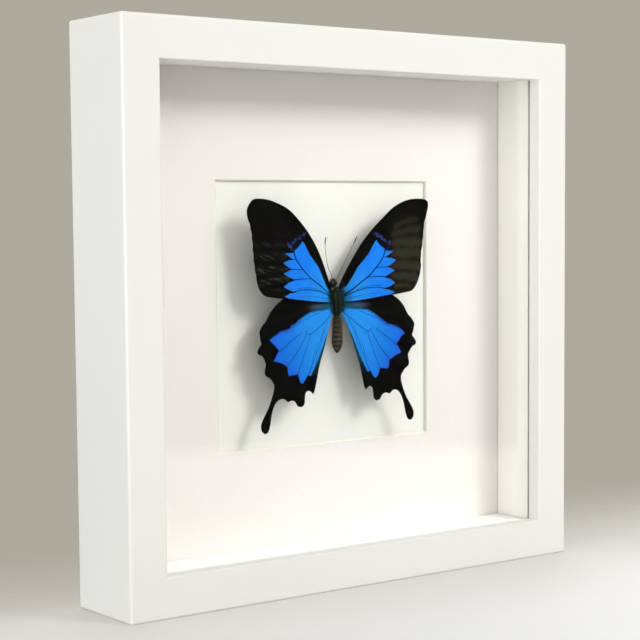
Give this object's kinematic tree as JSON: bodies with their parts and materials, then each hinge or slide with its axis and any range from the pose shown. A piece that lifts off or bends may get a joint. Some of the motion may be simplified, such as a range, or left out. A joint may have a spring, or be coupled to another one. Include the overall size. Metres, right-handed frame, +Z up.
{
  "type": "framed butterfly specimen",
  "caption": "Deep white box frame with a bevelled mat; a blue and black swallowtail butterfly is set with open wings behind the glass.",
  "frame": {"origin": "the middle of the frame's foot, on the surface that it stands on", "axes": "+Z up, +X along the frame's foot to the right as seen from the front, and +Y from the glass to the back board"},
  "size_m": [0.25, 0.043, 0.25],
  "materials": {
    "frame_paint": "smooth satin white paint on fibreboard rails, softly rounded edges",
    "glass": "clear flat float glass",
    "spacer_board": "white, slightly duller than the rails",
    "mat_board": "matte warm white paper face, cream core at the bevelled window",
    "backing_card": "matte neutral white card",
    "fibreboard": "plain brown pressed fibreboard",
    "steel": "plain bright steel sheet",
    "foam": "white closed-cell foam",
    "body_hair": "dark green-black hairy insect body",
    "abdomen_hair": "brown, banded, short-haired",
    "wing_scales": "black scales with a metallic blue patch, dry and thin",
    "antenna": "thin dark horn"
  },
  "bodies": {
    "root": {"frame_rail_top": "frame_paint", "frame_rail_bottom": "frame_paint", "frame_rail_left": "frame_paint", "frame_rail_right": "frame_paint", "glass": "glass", "spacer_top": "spacer_board", "spacer_bottom": "spacer_board", "spacer_left": "spacer_board", "spacer_right": "spacer_board", "mat": "mat_board", "backing_card": "backing_card", "back_board": "fibreboard", "board_tab_1": "steel", "board_tab_2": "steel", "board_tab_3": "steel", "board_tab_4": "steel", "board_tab_5": "steel", "board_tab_6": "steel", "board_tab_7": "steel", "board_tab_8": "steel", "hanger_plate": "steel", "hanger_rivet_left": "steel", "hanger_rivet_right": "steel", "mounting_post": "foam", "head": "body_hair", "thorax": "body_hair", "abdomen": "abdomen_hair", "forewing_left": "wing_scales", "forewing_right": "wing_scales", "hindwing_left": "wing_scales", "hindwing_right": "wing_scales", "antenna_left": "antenna", "antenna_right": "antenna"}
  },
  "joints": []
}
